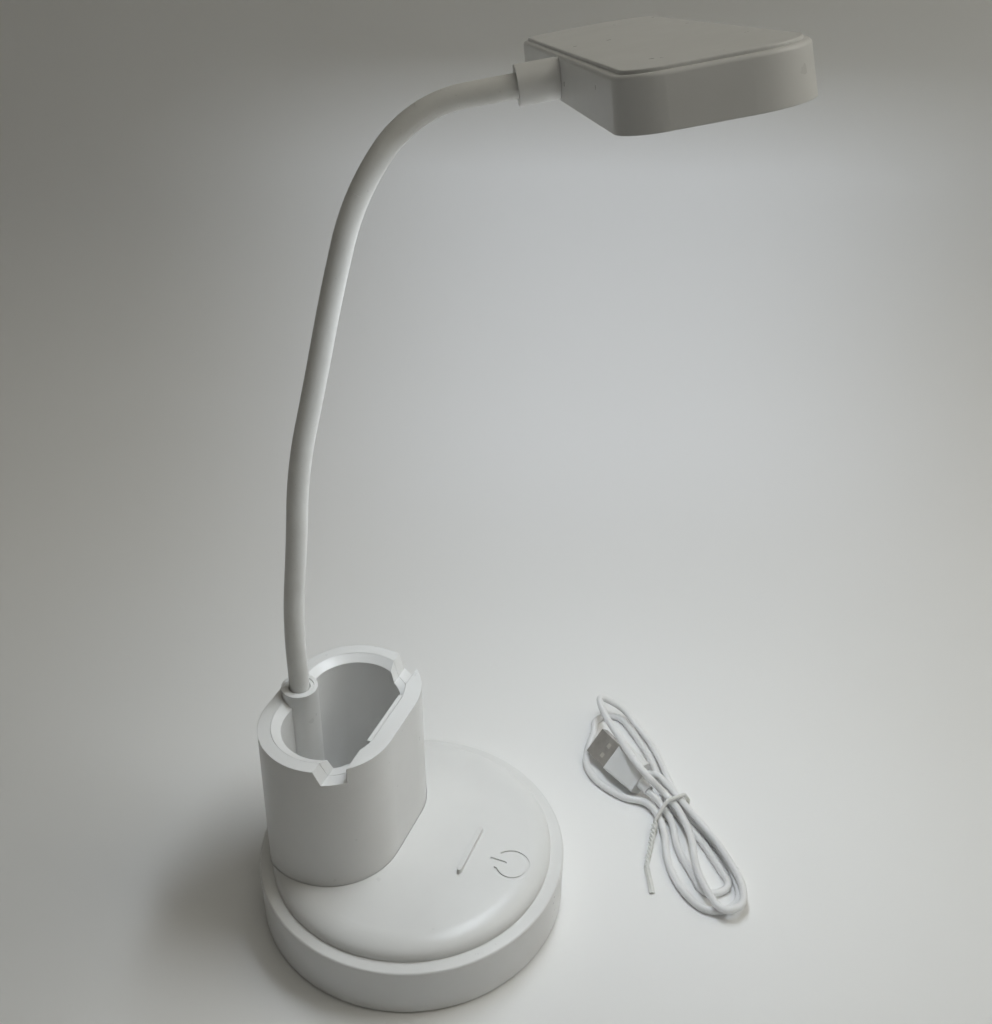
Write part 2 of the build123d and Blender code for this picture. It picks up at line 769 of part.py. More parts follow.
# Lead: a hank of one cord, tied at its waist, with a plug at each end
hank = Plane(
    origin=(hank_x, hank_y, 0),
    x_dir=Vector(1, 0, 0).rotate(Axis.Z, hank_heading),
    z_dir=(0, 0, 1),
)
upright = Vector(0, 0, 1)
sample_count = 700


def hank_vector(angle, rise=0):
    """Direction at an angle from the hank's line, in the hank's own axes."""
    angle, rise = math.radians(angle), math.radians(rise)
    return Vector(math.cos(angle) * math.cos(rise), math.sin(angle) * math.cos(rise), math.sin(rise))


# Plug that lies in the far lobe
plug_line = hank_vector(plug_heading, plug_nose_up)
plug_middle = Vector(plug_u, plug_v, plug_z)
moulding_back = plug_middle - plug_line * moulding_length / 2
moulding_front = plug_middle + plug_line * moulding_length / 2
relief_back = moulding_back - plug_line * relief_length
device_back = Vector(device_u, device_v, device_z)

# The cord's route between the plugs in the hank's own axes, three turns round the far lobe and the near one in
# layers: each row is a place, its heading and its rise in degrees
turns = (
    (-3, 1.9, 2.8, 181, 0),
    (-27, 5.9, 1.5, 180, 0),
    (-46, 0.2, 1.5, -90, 0),
    (-27, -5.6, 1.5, 0, 0),
    (0, -1.88, 2.58, -1.48, 1),
    (35.87, -6.02, 1.5, 1.01, 0),
    (60.01, 3.47, 1.5, 89.57, 0),
    (49, 13.4, 1.5, 140, 0),
    (38.5, 20.4, 1.5, 152, 0),
    (28, 22.6, 1.5, 184, 0),
    (14.3, 17, 1.5, 212, 0),
    (0, 5.88, 2.57, 180.1, 0.1),
    (-37.03, 13.4, 1.5, 180, 0),
    (-54.04, 2.54, 1.5, -90.81, 0),
    (-30, -10.2, 1.5, 0.18, 0),
    (0, -6.1, 2.67, -3.03, 0),
    (40.27, -10.1, 1.5, 0.95, 0),
    (54, -6.64, 5.25, 11.94, 14.26),
    (61, 1.8, 11.2, 90, 38),
    (47, 8.6, 15.24, 177.79, 0),
    (24.25, 8.8, 16.1, 180.76, -1.06),
    (11, 6.72, 14.3, 205, -25),
    (0, -1.2, 6.05, 190, 0),
    (-12.97, -1.69, 5.4, 174.13, -2.67),
    (-41.61, 5.62, 4.98, 173.66, 0),
    (-57.4, -0.17, 4.95, -90, 0),
    (-49.03, -7.86, 5.06, -18.39, -0.08),
    (-33, -9.4, 4.95, 0, 0),
    (0, -4.95, 6.1, 6.95, -0.34),
    (12.01, -3, 6.09, 12.28, 0),
)
route_places = [(Vector(u, v, z), hank_vector(heading, rise)) for u, v, z, heading, rise in turns]
device_line = hank_vector(device_heading)
stations = [(relief_back, plug_line * -1), *route_places, (device_back, device_line)]
parallel_limit = 1e-6


def biarc(start, start_dir, end, end_dir):
    """Two arcs with one tangent where they meet, from one place and direction to another."""
    chord = end - start
    along = chord.dot(start_dir + end_dir)
    spread = 2 * (1 - start_dir.dot(end_dir))
    if spread > parallel_limit:
        reach = (math.sqrt(along**2 + spread * chord.dot(chord)) - along) / spread
    else:
        reach = chord.dot(chord) / (2 * along)
    middle = (start + end + (start_dir - end_dir) * reach) / 2
    half = middle - start
    middle_dir = half * (2 * half.dot(start_dir) / half.dot(half)) - start_dir
    TangentArc(start, middle, tangent=start_dir)
    TangentArc(middle, end, tangent=middle_dir)


with BuildPart() as lead_hank:
    with BuildLine(hank) as hank_route:
        for (place, heading), (next_place, next_heading) in zip(stations, stations[1:]):
            biarc(place, heading, next_place, next_heading)
    hank_wire = hank_route.wire().moved(hank.location)
    with BuildSketch(Plane(origin=hank_wire @ 0, z_dir=hank_wire % 0)):
        Circle(cord_radius)
    sweep(path=hank_wire)
lead_hank.part.label = "lead_hank"


def hank_plane(place, along, across):
    """A plane square to a direction in the hank's axes."""
    origin = hank.from_local_coords(place)
    return Plane(
        origin=origin,
        x_dir=hank.from_local_coords(place + across) - origin,
        z_dir=hank.from_local_coords(place + along) - origin,
    )


def square_window(back, across):
    """A square window through the plug's shell."""
    with Locations((back, across)):
        Rectangle(shell_window, shell_window)


plug_level = upright.cross(plug_line).normalized()
plug_rise = plug_line.cross(plug_level)
roll_cos, roll_sin = math.cos(math.radians(plug_roll)), math.sin(math.radians(plug_roll))
plug_across = plug_level * roll_cos + plug_rise * roll_sin
plug_up = plug_rise * roll_cos - plug_level * roll_sin
moulding_plane = hank_plane(moulding_back, plug_line, plug_across)
shell_plane = moulding_plane.offset(moulding_length - shell_bury)
shell_total = shell_bury + shell_length
shell_top_plane = hank_plane(moulding_front, plug_up, plug_line)

with BuildPart() as usb_moulding:
    with BuildSketch(moulding_plane):
        RectangleRounded(moulding_back_width, moulding_height - moulding_round, moulding_round)
    with BuildSketch(moulding_plane.offset(moulding_length)):
        RectangleRounded(moulding_width, moulding_height, moulding_round)
    loft()
    with BuildSketch(shell_plane):
        Rectangle(shell_width, shell_height)
    extrude(amount=shell_total, mode=Mode.SUBTRACT)
usb_moulding.part.label = "usb_moulding"

with BuildPart() as usb_shell:
    with BuildSketch(shell_plane):
        Rectangle(shell_width, shell_height)
        Rectangle(shell_width - 2 * shell_wall, shell_height - 2 * shell_wall, mode=Mode.SUBTRACT)
    extrude(amount=shell_total)
    with BuildSketch(shell_top_plane):
        square_window(shell_window_back, shell_window_pitch / 2)
        square_window(shell_window_back, -shell_window_pitch / 2)
    extrude(amount=shell_height, both=True, mode=Mode.SUBTRACT)
usb_shell.part.label = "usb_shell"

with BuildPart() as usb_tongue:
    with BuildSketch(shell_plane):
        with Locations((0, -(shell_height - tongue_thick) / 2 + shell_wall)):
            Rectangle(shell_width - 2 * shell_wall, tongue_thick)
    extrude(amount=shell_total - shell_wall)
usb_tongue.part.label = "usb_tongue"

with BuildPart() as usb_relief:
    with BuildSketch(hank_plane(relief_back, plug_line, plug_across)):
        Circle(relief_radius)
    extrude(amount=relief_length)
usb_relief.part.label = "usb_relief"

device_plane = hank_plane(device_back, device_line, upright.cross(device_line))
with BuildPart() as device_plug_body:
    with BuildSketch(device_plane):
        RectangleRounded(device_width, device_height, device_round)
    extrude(amount=device_length)
device_plug_body.part.label = "device_plug_body"

with BuildPart() as device_plug_tip:
    with BuildSketch(device_plane.offset(device_length)):
        SlotOverall(device_tip_width, device_tip_height)
        SlotOverall(device_tip_width - 2 * shell_wall, device_tip_height - 2 * shell_wall, mode=Mode.SUBTRACT)
    extrude(amount=device_tip_length)
device_plug_tip.part.label = "device_plug_tip"

# The tie round the waist, its twisted end and its tail. The ring's section is an outline round the strands.
tie_clear = cord_radius + tie_radius + tie_gap
tie_side = max(place.Y for place, heading in route_places if place.X == 0) + tie_clear
tie_far_side = min(place.Y for place, heading in route_places if place.X == 0) - tie_clear
top_places = [place for place, heading in route_places if place.X == 0 and place.Z > 3 * cord_radius]
tie_top = max(place.Z for place in top_places) + tie_clear
tie_shoulder = max(place.Y for place in top_places) + tie_clear
tie_far_shoulder = min(place.Y for place in top_places) - tie_clear
waist_low = 2.6  # the middle of the strands that lie lowest in the tie
twist_start = Vector(0, tie_side, waist_low)
twist_run = tie_twist_length * math.cos(math.asin((waist_low - tie_twist_radius) / tie_twist_length))
twist_end = Vector(0, tie_side, tie_twist_radius) + hank_vector(tie_twist_heading) * twist_run
tail_end = Vector(twist_end.X, twist_end.Y, tie_radius) + hank_vector(tie_tail_heading) * tie_tail_length
tie_plane = hank_plane(Vector(0, 0, 0), Vector(1, 0, 0), Vector(0, 1, 0))

with BuildPart() as twist_tie:
    with BuildLine(tie_plane) as ring:
        FilletPolyline(
            (tie_far_side, tie_radius),
            (tie_side, tie_radius),
            (tie_side, waist_low + cord_radius),
            (tie_shoulder, tie_top),
            (tie_far_shoulder, tie_top),
            (tie_far_side, waist_low + cord_radius),
            radius=tie_bend,
            close=True,
        )
    ring_wire = ring.wire()
    with BuildSketch(Plane(origin=ring_wire @ 0, z_dir=ring_wire % 0)):
        Circle(tie_radius)
    sweep(path=ring_wire)
    for begin, end, radius in ((twist_start, twist_end, tie_twist_radius), (twist_end, tail_end, tie_radius)):
        along = (end - begin).normalized()
        with BuildSketch(hank_plane(begin, along, along.cross(upright))):
            Circle(radius)
        extrude(amount=(end - begin).length)
twist_tie.part.label = "twist_tie"


def report_cord(wire, solid):
    """Print the cord's length, its least gap to itself and how its volume compares with its length."""
    samples = [wire @ (step / sample_count) for step in range(sample_count + 1)]
    spacing = wire.length / sample_count
    apart = int(8 * cord_radius / spacing) + 1
    gap = min(
        (samples[i] - samples[j]).length for i in range(len(samples)) for j in range(i + apart, len(samples))
    )
    expected = math.pi * cord_radius**2 * wire.length
    print(f"lead {wire.length:.0f} mm, least gap {gap - 2 * cord_radius:.2f} mm, volume {solid.volume / expected:.4f}")
    print("arc radii", sorted(round(e.radius, 1) for e in wire.edges() if e.geom_type == GeomType.CIRCLE)[:6])


report_cord(hank_wire, lead_hank.part)

# Write every piece
os.makedirs("parts", exist_ok=True)
pieces = [
    base_housing,
    bottom_plate,
    bottom_screws,
    foot_pad,
    base_dome,
    holder_shell,
    holder_cup,
    holder_screws,
    boss_bush,
    neck_ferrule,
    neck_nut,
    counterweight,
    battery,
    battery_cradle,
    control_board,
    board_screws,
    charge_socket,
    touch_electrode,
    *neck_cores,
    *neck_sleeves,
    head_shell,
    head_cover,
    diffuser,
    led_board,
    leds,
    head_screws,
    reflector,
    head_collar,
    collar_nut,
    lead_hank,
    usb_shell,
    usb_tongue,
    usb_moulding,
    usb_relief,
    device_plug_body,
    device_plug_tip,
    twist_tie,
]
for piece in pieces:
    export_step(piece.part, f"parts/{piece.part.label}.step")
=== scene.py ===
import json
import math

import bmesh
import bpy
from mathutils import Matrix, Vector


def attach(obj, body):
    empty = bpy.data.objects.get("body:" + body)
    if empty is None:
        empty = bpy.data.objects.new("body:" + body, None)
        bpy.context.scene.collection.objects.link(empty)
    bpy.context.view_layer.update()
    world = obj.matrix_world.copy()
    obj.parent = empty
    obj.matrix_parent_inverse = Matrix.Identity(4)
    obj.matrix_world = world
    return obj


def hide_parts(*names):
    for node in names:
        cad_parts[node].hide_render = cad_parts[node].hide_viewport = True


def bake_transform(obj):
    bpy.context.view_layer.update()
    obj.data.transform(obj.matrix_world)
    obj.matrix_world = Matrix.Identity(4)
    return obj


# The looks of a desk lamp with a pen cup that also holds a phone. Metres, +Z up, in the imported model's frame.

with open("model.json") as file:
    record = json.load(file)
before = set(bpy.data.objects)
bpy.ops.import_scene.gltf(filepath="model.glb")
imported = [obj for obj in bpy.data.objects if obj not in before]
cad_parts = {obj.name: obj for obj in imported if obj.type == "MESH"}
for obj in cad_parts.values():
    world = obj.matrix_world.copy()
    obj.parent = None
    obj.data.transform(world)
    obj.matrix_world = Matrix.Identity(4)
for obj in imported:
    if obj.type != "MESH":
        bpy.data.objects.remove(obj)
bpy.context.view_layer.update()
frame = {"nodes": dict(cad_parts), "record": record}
mm = 0.001
edge_ease = 0.35 * mm


# Lamp head: its own axes, forward from the neck, across and up, and the lights on its board
head_origin = Vector((62.3497, -24.698, 297.421)) * mm
head_forward = Vector((0.458196, -0.872736, 0.168489))
head_across = Vector((0.888042, 0.441393, -0.12866))
head_up = Vector((0.037916, 0.208577, 0.977271))
head_axes = Matrix((head_forward, head_across, head_up)).transposed()
led_middle = 23.9 * mm
led_pitch = 7.6 * mm
led_row_pitch = 13.0 * mm


class Wire:
    """A node's output, on which sums are written as plain expressions."""

    def __init__(self, finish, node, output=0):
        self.finish = finish
        self.node = node
        self.socket = node.outputs[output] if node.outputs else None

    def out(self, output):
        return Wire(self.finish, self.node, output)

    def sum_of(self, operation, first, second):
        return self.finish.node("ShaderNodeMath", {"operation": operation}, {0: first, 1: second})

    def __add__(self, other):
        return self.sum_of("ADD", self, other)

    def __radd__(self, other):
        return self.sum_of("ADD", other, self)

    def __sub__(self, other):
        return self.sum_of("SUBTRACT", self, other)

    def __rsub__(self, other):
        return self.sum_of("SUBTRACT", other, self)

    def __mul__(self, other):
        return self.sum_of("MULTIPLY", self, other)

    def __rmul__(self, other):
        return self.sum_of("MULTIPLY", other, self)

    def cosine(self):
        return self.finish.node("ShaderNodeMath", {"operation": "COSINE"}, {0: self})


class Nodes:
    """A node tree, to which every node is added by one method."""

    def node(self, kind, settings=None, sockets=None):
        made = self.tree.nodes.new(kind)
        for key, value in (settings or {}).items():
            if key == "stops":
                ramp = made.color_ramp
                while len(ramp.elements) < len(value):
                    ramp.elements.new(1)
                for stop, (place, colour) in zip(ramp.elements, value):
                    stop.position = place
                    stop.color = colour
            else:
                setattr(made, key, value)
        for key, value in (sockets or {}).items():
            for part in value if isinstance(value, list) else [value]:
                if isinstance(part, Wire):
                    self.tree.links.new(part.socket, made.inputs[key])
                else:
                    made.inputs[key].default_value = part
        return Wire(self, made)


class Shape(Nodes):
    """A Geometry Nodes tree with named sizes, whose result is made a plain mesh."""

    def __init__(self, name, sizes):
        self.name = name
        self.sizes = sizes
        self.tree = bpy.data.node_groups.new(name, "GeometryNodeTree")
        for label, value in sizes.items():
            kind = "NodeSocketInt" if isinstance(value, int) else "NodeSocketFloat"
            self.tree.interface.new_socket(label, in_out="INPUT", socket_type=kind)
        self.tree.interface.new_socket("Geometry", in_out="OUTPUT", socket_type="NodeSocketGeometry")
        self.given = self.node("NodeGroupInput")

    def size(self, label):
        return self.given.out(label)

    def piece(self, geometry, slot, place):
        """The finished piece, put at its place on the lamp by a matrix."""
        real = self.node("GeometryNodeRealizeInstances", None, {0: geometry})
        painted = self.node("GeometryNodeSetMaterial", None, {0: real, "Material": finishes[slot]})
        self.node("NodeGroupOutput", None, {0: painted})
        holder = bpy.data.objects.new(self.name + "_maker", bpy.data.meshes.new(self.name + "_maker"))
        bpy.context.scene.collection.objects.link(holder)
        modifier = holder.modifiers.new(self.name, "NODES")
        modifier.node_group = self.tree
        for item in self.tree.interface.items_tree:
            if item.in_out == "INPUT":
                modifier[item.identifier] = self.sizes[item.name]
        graph = bpy.context.evaluated_depsgraph_get()
        graph.update()
        mesh = bpy.data.meshes.new_from_object(holder.evaluated_get(graph))
        bpy.data.objects.remove(holder)
        mesh.transform(place)
        made = bpy.data.objects.new(self.name, mesh)
        bpy.context.scene.collection.objects.link(made)
        return made


class Finish(Nodes):
    """A material that is built from nodes."""

    def __init__(self, name):
        self.material = bpy.data.materials.new(name)
        self.material.use_nodes = True
        self.tree = self.material.node_tree
        self.tree.nodes.clear()

    def place(self, scale=(1, 1, 1), turn=(0, 0, 0), shift=(0, 0, 0)):
        """The point on the object, moved, turned and scaled."""
        point = self.node("ShaderNodeTexCoord").out("Object")
        return self.node(
            "ShaderNodeMapping",
            None,
            {"Vector": point, "Scale": scale, "Rotation": turn, "Location": shift},
        )

    def noise(self, place, scale, detail=2.0, rough=0.5):
        return self.node(
            "ShaderNodeTexNoise",
            None,
            {"Vector": place, "Scale": scale, "Detail": detail, "Roughness": rough},
        )

    def between(self, share, first, second):
        """A colour between two, at a share of the way."""
        mixed = self.node("ShaderNodeMix", {"data_type": "RGBA"}, {0: share, 6: first, 7: second})
        return mixed.out(2)

    def banded(self, value, low, high):
        """0 below a value's low mark, 1 above its high mark, and a slope between."""
        return self.node(
            "ShaderNodeMapRange",
            None,
            {"Value": value, "From Min": low, "From Max": high, "To Min": 0.0, "To Max": 1.0},
        )

    def bump(self, height, depth, strength=1.0, normal=None):
        sockets = {"Height": height, "Distance": depth, "Strength": strength}
        if normal:
            sockets["Normal"] = normal
        return self.node("ShaderNodeBump", None, sockets)

    def surface(self, **sockets):
        """The shader and its output. Socket names are written with _ for a space."""
        shader = self.node(
            "ShaderNodeBsdfPrincipled",
            None,
            {key.replace("_", " "): value for key, value in sockets.items()},
        )
        self.node("ShaderNodeOutputMaterial", None, {"Surface": shader})
        return self.material


def shade(colour, share):
    """A colour made darker or lighter."""
    return tuple(min(1.0, part * share) for part in colour[:3]) + (1.0,)


def moulded_plastic(name, colour, roughness, grain_size, grain_depth, cloud=0.04):
    """Injection-moulded plastic: a fine spark grain, soft clouds of tone, and patches that handling polished."""
    finish = Finish(name)
    place = finish.place()
    clouds = finish.noise(place, 34.0, 4.0)
    patches = finish.noise(place, 150.0, 3.0)
    grain = finish.noise(place, 1.0 / grain_size, 3.0, 0.6)
    flow = finish.noise(finish.place(scale=(1, 1, 0.25)), 12.0, 2.0)
    tone = finish.banded(clouds * 0.6 + flow * 0.4, 0.35, 0.65)
    base = finish.between(tone, shade(colour, 1.0 - cloud), shade(colour, 1.0 + cloud / 2))
    specks = finish.banded(finish.noise(place, 900.0, 1.0), 0.74, 0.78)
    coloured = finish.between(specks * 0.06, base, shade(colour, 0.72))
    eased = finish.node("ShaderNodeBevel", {"samples": 4}, {"Radius": edge_ease})
    return finish.surface(
        Base_Color=coloured,
        Roughness=roughness + (patches - 0.5) * 0.16,
        IOR=1.5,
        Normal=finish.bump(grain, grain_depth, normal=eased),
    )


def soft_silicone(name, colour):
    """Silicone: matt, with a faint bloom and a few specks of lint."""
    finish = Finish(name)
    place = finish.place()
    bloom = finish.noise(place, 90.0, 4.0)
    lint = finish.banded(finish.noise(place, 1400.0, 1.0), 0.72, 0.76)
    skin = finish.noise(place, 2600.0, 2.0)
    base = finish.between(finish.banded(bloom, 0.35, 0.65), shade(colour, 0.95), colour)
    return finish.surface(
        Base_Color=finish.between(lint * 0.4, base, shade(colour, 0.7)),
        Roughness=0.56 + (bloom - 0.5) * 0.2,
        IOR=1.42,
        Normal=finish.bump(skin, 0.02 * mm),
    )


def worked_metal(name, colour, roughness, stretch=(1, 1, 1), turn=(0, 0, 0)):
    """Plated or drawn metal, with fine lines along one way and dull patches."""
    finish = Finish(name)
    lines = finish.noise(finish.place(scale=stretch, turn=turn), 1800.0, 3.0)
    patches = finish.noise(finish.place(), 260.0, 3.0)
    base = finish.between(finish.banded(patches, 0.3, 0.7), shade(colour, 0.86), colour)
    return finish.surface(
        Base_Color=base,
        Metallic=1.0,
        Roughness=roughness + (lines - 0.5) * 0.25,
        Normal=finish.bump(lines, 0.01 * mm),
    )


def glossy_cord(name, colour):
    """Soft PVC of a lead: glossy, with a slow ripple from the extruder."""
    finish = Finish(name)
    place = finish.place()
    ripple = finish.noise(place, 420.0, 2.0)
    tone = finish.noise(place, 70.0, 2.0)
    return finish.surface(
        Base_Color=finish.between(finish.banded(tone, 0.3, 0.7), shade(colour, 0.96), colour),
        Roughness=0.3 + (ripple - 0.5) * 0.14,
        IOR=1.5,
        Normal=finish.bump(ripple, 0.05 * mm),
    )


def plain_speckled(name, colour, roughness, size, metallic=0.0):
    """A dull finish with a speckle, for pieces inside or under the lamp."""
    finish = Finish(name)
    speckle = finish.noise(finish.place(), 1.0 / size, 4.0, 0.7)
    return finish.surface(
        Base_Color=finish.between(speckle, shade(colour, 0.7), shade(colour, 1.15)),
        Metallic=metallic,
        Roughness=roughness + (speckle - 0.5) * 0.2,
        Normal=finish.bump(speckle, size / 12),
    )


def lit_diffuser(name):
    """The opal sheet under the light strip: the two rows of lights behind it show as soft bright spots."""
    finish = Finish(name)
    frost = finish.noise(finish.place(), 2400.0, 2.0)
    turned = head_axes.transposed().to_euler()
    middle = head_axes.transposed() @ -(head_origin + head_forward * led_middle)
    on_head = finish.node("ShaderNodeSeparateXYZ", None, {0: finish.place(turn=turned, shift=middle)})
    along_row = ((on_head.out(1) + led_pitch / 2) * (2 * math.pi / led_pitch)).cosine() * 0.5 + 0.5
    across_rows = ((on_head.out(0) + led_row_pitch / 2) * (2 * math.pi / led_row_pitch)).cosine() * 0.5 + 0.5
    spot = along_row * across_rows
    glow = finish.between(spot, (0.62, 0.67, 0.74, 1.0), (0.98, 0.99, 1.0, 1.0))
    return finish.surface(
        Base_Color=(0.86, 0.87, 0.88, 1.0),
        Roughness=0.45 + (frost - 0.5) * 0.2,
        Emission_Color=glow,
        Emission_Strength=1.3,
        Normal=finish.bump(frost, 0.01 * mm),
    )


white = (0.80, 0.80, 0.79, 1.0)
finishes = {
    "white_plastic": moulded_plastic("white_plastic", white, 0.31, 0.28 * mm, 0.012 * mm),
    "white_silicone": soft_silicone("white_silicone", (0.84, 0.84, 0.82, 1.0)),
    "foot_rubber": plain_speckled("foot_rubber", (0.10, 0.10, 0.10, 1.0), 0.85, 0.6 * mm),
    "steel": worked_metal("steel", (0.56, 0.56, 0.57, 1.0), 0.32),
    "cast_iron": plain_speckled("cast_iron", (0.16, 0.15, 0.15, 1.0), 0.7, 1.2 * mm, 0.6),
    "battery_wrap": plain_speckled("battery_wrap", (0.08, 0.26, 0.42, 1.0), 0.35, 0.9 * mm),
    "board_green": plain_speckled("board_green", (0.03, 0.20, 0.09, 1.0), 0.4, 0.8 * mm),
    "copper": worked_metal("copper", (0.72, 0.42, 0.28, 1.0), 0.35),
    "aluminium": worked_metal("aluminium", (0.76, 0.77, 0.78, 1.0), 0.35),
    "led_yellow": plain_speckled("led_yellow", (0.85, 0.68, 0.18, 1.0), 0.5, 0.5 * mm),
    "diffuser_white": lit_diffuser("diffuser_white"),
    "cord_white": glossy_cord("cord_white", (0.88, 0.88, 0.88, 1.0)),
    "plug_metal": worked_metal("plug_metal", (0.64, 0.62, 0.59, 1.0), 0.38, stretch=(1, 0.08, 1)),
    "tongue_white": moulded_plastic("tongue_white", (0.70, 0.70, 0.68, 1.0), 0.45, 0.3 * mm, 0.01 * mm),
    "tie_white": glossy_cord("tie_white", (0.78, 0.78, 0.75, 1.0)),
    "leaf_metal": worked_metal("leaf_metal", (0.78, 0.76, 0.71, 1.0), 0.5),
}

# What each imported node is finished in
for row in frame["record"]["subparts"]:
    node = frame["nodes"][row["node"]]
    node.data.materials.clear()
    node.data.materials.append(finishes[row["material_slot"]])


def mesh_piece(name, bm, slot, smooth=True):
    """A new object from a bmesh, with its finish."""
    mesh = bpy.data.meshes.new(name)
    bm.to_mesh(mesh)
    bm.free()
    mesh.materials.append(finishes[slot])
    if smooth:
        mesh.shade_smooth()
    piece = bpy.data.objects.new(name, mesh)
    bpy.context.scene.collection.objects.link(piece)
    return piece


def tube(points, radius, sides, closed_ends=True):
    """A bmesh tube along points, whose rings don't twist."""
    bm = bmesh.new()
    count = len(points)
    tangents = []
    for index in range(count):
        before = points[max(index - 1, 0)]
        after = points[min(index + 1, count - 1)]
        tangents.append((after - before).normalized())
    side = tangents[0].orthogonal().normalized()
    rings = []
    for point, tangent in zip(points, tangents):
        side = (side - tangent * side.dot(tangent)).normalized()
        up = tangent.cross(side)
        ring = []
        for step in range(sides):
            angle = 2 * math.pi * step / sides
            ring.append(bm.verts.new(point + (side * math.cos(angle) + up * math.sin(angle)) * radius))
        rings.append(ring)
    for ring, following in zip(rings, rings[1:]):
        for step in range(sides):
            right = (step + 1) % sides
            bm.faces.new((ring[step], ring[right], following[right], following[step]))
    if closed_ends:
        for ring in (rings[0][::-1], rings[-1]):
            cap = bm.faces.new(ring)
            cap.smooth = False
            for edge in cap.edges:
                edge.smooth = False
    return bm


# Flexible neck: its ball joints and the way that it points at each, as in the part
column_y = 43.5 * mm
column_top = 85.7 * mm
link_length = 29.8 * mm
stub_length = 14.85 * mm
sleeve_bury = 13.5 * mm
collar_socket = 10.0 * mm
sleeve_radius = 3.6 * mm
neck_leans = (0.0, 7.0, 7.0, 17.0, 16.0, 17.0, 40.7, 80.3)
neck_headings = (0.0, -46.0, -19.0, -32.0, -30.0, -44.0, -40.0, -62.3)


def direction(lean, heading):
    lean = math.radians(lean)
    heading = math.radians(heading)
    return Vector((math.sin(lean) * math.cos(heading), math.sin(lean) * math.sin(heading), math.cos(lean)))


neck_root = Vector((0, column_y, column_top))
tangents = [direction(lean, heading) for lean, heading in zip(neck_leans, neck_headings)]
pivots = [neck_root + tangents[0] * stub_length]
for before, after in zip(tangents, tangents[1:]):
    half_turn = before.angle(after) / 2
    chord = link_length * math.sin(half_turn) / half_turn
    pivots.append(pivots[-1] + (before + after).normalized() * chord)
neck_end = pivots[-1] + tangents[-1] * stub_length


def arc(start, tangent, end, first, last, steps):
    """Points of the arc that leaves start along tangent and passes through end, between two shares of it."""
    chord = end - start
    half = tangent.angle(chord)
    normal = (chord - tangent * chord.dot(tangent)).normalized()
    radius = chord.length / (2 * math.sin(half))
    points = []
    for step in range(steps + 1):
        turn = 2 * half * (first + (last - first) * step / steps)
        points.append(start + tangent * (radius * math.sin(turn)) + normal * (radius * (1 - math.cos(turn))))
    return points


def straight(start, end, steps):
    return [start.lerp(end, step / steps) for step in range(steps + 1)]


half_steps = 12
skin_sides = 40
neck_bodies = ["base"] + [f"neck_{number}" for number in range(1, 8)] + ["head"]
bend_reach = 12.0 * mm
for number, pivot in enumerate(pivots):
    if number:
        lead_in = arc(pivots[number - 1], tangents[number - 1], pivot, 0.5, 1.0, half_steps)
    else:
        lead_in = straight(neck_root - tangents[0] * sleeve_bury, pivot, 2 * half_steps)
    if number < len(pivots) - 1:
        lead_out = arc(pivot, tangents[number], pivots[number + 1], 0.0, 0.5, half_steps)
    else:
        lead_out = straight(pivot, neck_end + tangents[-1] * collar_socket, 2 * half_steps)
    skin_tube = tube(lead_in + lead_out[1:], sleeve_radius, skin_sides)
    skin = mesh_piece(f"neck_skin_{number}", skin_tube, "white_silicone", smooth=False)
    for face in skin.data.polygons:
        face.use_smooth = len(face.vertices) == 4
    neck_bodies[number + 1]
    pivot - tangents[number] * bend_reach
    pivot + tangents[number] * bend_reach
    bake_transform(skin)
    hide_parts(f"neck_sleeve_{number}", f"neck_core_{number}")
    if number == len(pivots) - 1:
        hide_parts(f"neck_sleeve_{number + 1}", f"neck_core_{number + 1}")

